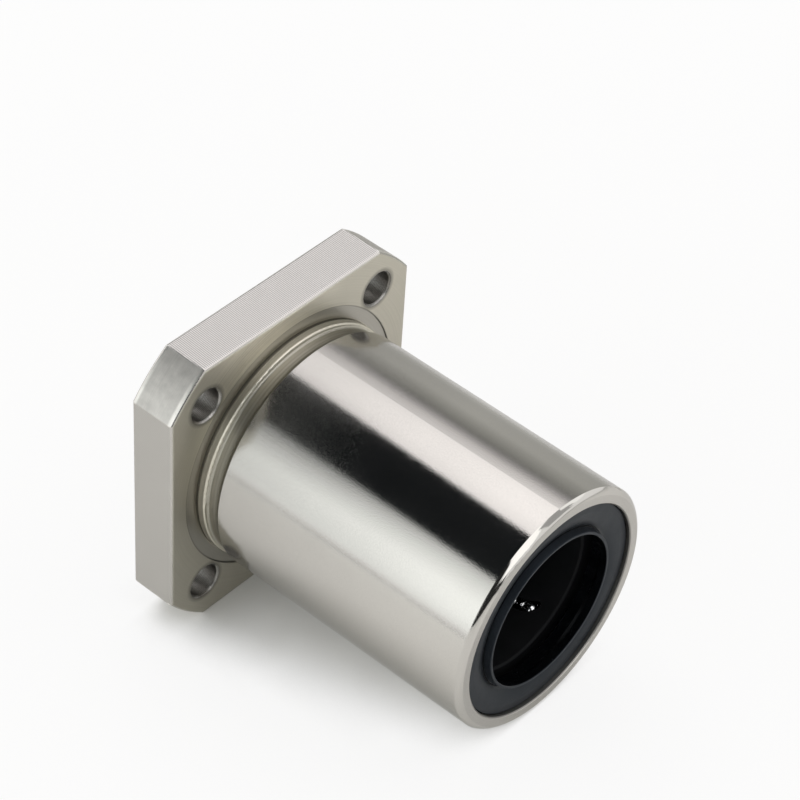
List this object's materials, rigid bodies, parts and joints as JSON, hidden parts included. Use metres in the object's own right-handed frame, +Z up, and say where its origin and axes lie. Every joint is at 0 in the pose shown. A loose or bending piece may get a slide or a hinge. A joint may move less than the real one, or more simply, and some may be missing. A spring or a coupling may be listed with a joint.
{
  "type": "flanged linear bearing",
  "caption": "Ball bearing sleeve with a square bolt-on flange that guides a round shaft along its axis on recirculating balls, sealed at both ends.",
  "frame": {"origin": "where the bore axis meets the seat face of the flange, the face that bears on the housing", "axes": "+X along the bore axis from the flange towards the free end of the sleeve, +Z up and square to a flat of the flange"},
  "size_m": [0.059, 0.05, 0.05],
  "materials": {
    "sleeve_steel": "ground and polished bearing steel",
    "cage_resin": "moulded black resin",
    "seal_rubber": "matte black rubber",
    "spring_steel": "oiled spring steel",
    "ball_steel": "polished ball steel"
  },
  "bodies": {
    "bearing": {"flanged_sleeve": "sleeve_steel", "ball_retainer": "cage_resin", "free_end_seal": "seal_rubber", "flange_end_seal": "seal_rubber", "free_end_ring": "spring_steel", "flange_end_ring": "spring_steel"},
    "loaded_balls_1": {"loaded_balls_1": "ball_steel"},
    "return_balls_1": {"return_balls_1": "ball_steel"},
    "free_end_turn_balls_1": {"free_end_turn_balls_1": "ball_steel"},
    "flange_end_turn_balls_1": {"flange_end_turn_balls_1": "ball_steel"},
    "loaded_balls_2": {"loaded_balls_2": "ball_steel"},
    "return_balls_2": {"return_balls_2": "ball_steel"},
    "free_end_turn_balls_2": {"free_end_turn_balls_2": "ball_steel"},
    "flange_end_turn_balls_2": {"flange_end_turn_balls_2": "ball_steel"},
    "loaded_balls_3": {"loaded_balls_3": "ball_steel"},
    "return_balls_3": {"return_balls_3": "ball_steel"},
    "free_end_turn_balls_3": {"free_end_turn_balls_3": "ball_steel"},
    "flange_end_turn_balls_3": {"flange_end_turn_balls_3": "ball_steel"},
    "loaded_balls_4": {"loaded_balls_4": "ball_steel"},
    "return_balls_4": {"return_balls_4": "ball_steel"},
    "free_end_turn_balls_4": {"free_end_turn_balls_4": "ball_steel"},
    "flange_end_turn_balls_4": {"flange_end_turn_balls_4": "ball_steel"},
    "loaded_balls_5": {"loaded_balls_5": "ball_steel"},
    "return_balls_5": {"return_balls_5": "ball_steel"},
    "free_end_turn_balls_5": {"free_end_turn_balls_5": "ball_steel"},
    "flange_end_turn_balls_5": {"flange_end_turn_balls_5": "ball_steel"},
    "loaded_balls_6": {"loaded_balls_6": "ball_steel"},
    "return_balls_6": {"return_balls_6": "ball_steel"},
    "free_end_turn_balls_6": {"free_end_turn_balls_6": "ball_steel"},
    "flange_end_turn_balls_6": {"flange_end_turn_balls_6": "ball_steel"}
  },
  "joints": [
    {"name": "loaded_row_1_travel", "type": "slide", "parent": "bearing", "child": "loaded_balls_1", "axis": [1, 0, 0], "range_m": [-0.0017, 0.0017]},
    {"name": "return_row_1_travel", "type": "slide", "parent": "bearing", "child": "return_balls_1", "axis": [1, 0, 0], "range_m": [-0.0017, 0.0017]},
    {"name": "free_end_turn_1_swing", "type": "hinge", "parent": "bearing", "child": "free_end_turn_balls_1", "pos_m": [0.04022, 0.01431, 0.00324], "axis": [0, 0.9977, -0.0683], "range_deg": [-30, 30]},
    {"name": "flange_end_turn_1_swing", "type": "hinge", "parent": "bearing", "child": "flange_end_turn_balls_1", "pos_m": [0.00278, 0.01431, 0.00324], "axis": [0, 0.9977, -0.0683], "range_deg": [-30, 30]},
    {"name": "loaded_row_2_travel", "type": "slide", "parent": "bearing", "child": "loaded_balls_2", "axis": [1, 0, 0], "range_m": [-0.0017, 0.0017]},
    {"name": "return_row_2_travel", "type": "slide", "parent": "bearing", "child": "return_balls_2", "axis": [1, 0, 0], "range_m": [-0.0017, 0.0017]},
    {"name": "free_end_turn_2_swing", "type": "hinge", "parent": "bearing", "child": "free_end_turn_balls_2", "pos_m": [0.04022, 0.00435, 0.01401], "axis": [0, 0.5579, 0.8299], "range_deg": [-30, 30]},
    {"name": "flange_end_turn_2_swing", "type": "hinge", "parent": "bearing", "child": "flange_end_turn_balls_2", "pos_m": [0.00278, 0.00435, 0.01401], "axis": [0, 0.5579, 0.8299], "range_deg": [-30, 30]},
    {"name": "loaded_row_3_travel", "type": "slide", "parent": "bearing", "child": "loaded_balls_3", "axis": [1, 0, 0], "range_m": [-0.0017, 0.0017]},
    {"name": "return_row_3_travel", "type": "slide", "parent": "bearing", "child": "return_balls_3", "axis": [1, 0, 0], "range_m": [-0.0017, 0.0017]},
    {"name": "free_end_turn_3_swing", "type": "hinge", "parent": "bearing", "child": "free_end_turn_balls_3", "pos_m": [0.04022, -0.00996, 0.01077], "axis": [0, -0.4397, 0.8981], "range_deg": [-30, 30]},
    {"name": "flange_end_turn_3_swing", "type": "hinge", "parent": "bearing", "child": "flange_end_turn_balls_3", "pos_m": [0.00278, -0.00996, 0.01077], "axis": [0, -0.4397, 0.8981], "range_deg": [-30, 30]},
    {"name": "loaded_row_4_travel", "type": "slide", "parent": "bearing", "child": "loaded_balls_4", "axis": [1, 0, 0], "range_m": [-0.0017, 0.0017]},
    {"name": "return_row_4_travel", "type": "slide", "parent": "bearing", "child": "return_balls_4", "axis": [1, 0, 0], "range_m": [-0.0017, 0.0017]},
    {"name": "free_end_turn_4_swing", "type": "hinge", "parent": "bearing", "child": "free_end_turn_balls_4", "pos_m": [0.04022, -0.01431, -0.00324], "axis": [0, -0.9977, 0.0683], "range_deg": [-30, 30]},
    {"name": "flange_end_turn_4_swing", "type": "hinge", "parent": "bearing", "child": "flange_end_turn_balls_4", "pos_m": [0.00278, -0.01431, -0.00324], "axis": [0, -0.9977, 0.0683], "range_deg": [-30, 30]},
    {"name": "loaded_row_5_travel", "type": "slide", "parent": "bearing", "child": "loaded_balls_5", "axis": [1, 0, 0], "range_m": [-0.0017, 0.0017]},
    {"name": "return_row_5_travel", "type": "slide", "parent": "bearing", "child": "return_balls_5", "axis": [1, 0, 0], "range_m": [-0.0017, 0.0017]},
    {"name": "free_end_turn_5_swing", "type": "hinge", "parent": "bearing", "child": "free_end_turn_balls_5", "pos_m": [0.04022, -0.00435, -0.01401], "axis": [0, -0.5579, -0.8299], "range_deg": [-30, 30]},
    {"name": "flange_end_turn_5_swing", "type": "hinge", "parent": "bearing", "child": "flange_end_turn_balls_5", "pos_m": [0.00278, -0.00435, -0.01401], "axis": [0, -0.5579, -0.8299], "range_deg": [-30, 30]},
    {"name": "loaded_row_6_travel", "type": "slide", "parent": "bearing", "child": "loaded_balls_6", "axis": [1, 0, 0], "range_m": [-0.0017, 0.0017]},
    {"name": "return_row_6_travel", "type": "slide", "parent": "bearing", "child": "return_balls_6", "axis": [1, 0, 0], "range_m": [-0.0017, 0.0017]},
    {"name": "free_end_turn_6_swing", "type": "hinge", "parent": "bearing", "child": "free_end_turn_balls_6", "pos_m": [0.04022, 0.00996, -0.01077], "axis": [0, 0.4397, -0.8981], "range_deg": [-30, 30]},
    {"name": "flange_end_turn_6_swing", "type": "hinge", "parent": "bearing", "child": "flange_end_turn_balls_6", "pos_m": [0.00278, 0.00996, -0.01077], "axis": [0, 0.4397, -0.8981], "range_deg": [-30, 30]}
  ],
  "couplings": [
    {"joint": "return_row_1_travel", "follows": "loaded_row_1_travel", "ratio": -1},
    {"joint": "free_end_turn_1_swing", "follows": "loaded_row_1_travel", "rad_per_m": -307.69},
    {"joint": "flange_end_turn_1_swing", "follows": "loaded_row_1_travel", "rad_per_m": -307.69},
    {"joint": "return_row_2_travel", "follows": "loaded_row_2_travel", "ratio": -1},
    {"joint": "free_end_turn_2_swing", "follows": "loaded_row_2_travel", "rad_per_m": -307.69},
    {"joint": "flange_end_turn_2_swing", "follows": "loaded_row_2_travel", "rad_per_m": -307.69},
    {"joint": "return_row_3_travel", "follows": "loaded_row_3_travel", "ratio": -1},
    {"joint": "free_end_turn_3_swing", "follows": "loaded_row_3_travel", "rad_per_m": -307.69},
    {"joint": "flange_end_turn_3_swing", "follows": "loaded_row_3_travel", "rad_per_m": -307.69},
    {"joint": "return_row_4_travel", "follows": "loaded_row_4_travel", "ratio": -1},
    {"joint": "free_end_turn_4_swing", "follows": "loaded_row_4_travel", "rad_per_m": -307.69},
    {"joint": "flange_end_turn_4_swing", "follows": "loaded_row_4_travel", "rad_per_m": -307.69},
    {"joint": "return_row_5_travel", "follows": "loaded_row_5_travel", "ratio": -1},
    {"joint": "free_end_turn_5_swing", "follows": "loaded_row_5_travel", "rad_per_m": -307.69},
    {"joint": "flange_end_turn_5_swing", "follows": "loaded_row_5_travel", "rad_per_m": -307.69},
    {"joint": "return_row_6_travel", "follows": "loaded_row_6_travel", "ratio": -1},
    {"joint": "free_end_turn_6_swing", "follows": "loaded_row_6_travel", "rad_per_m": -307.69},
    {"joint": "flange_end_turn_6_swing", "follows": "loaded_row_6_travel", "rad_per_m": -307.69}
  ]
}
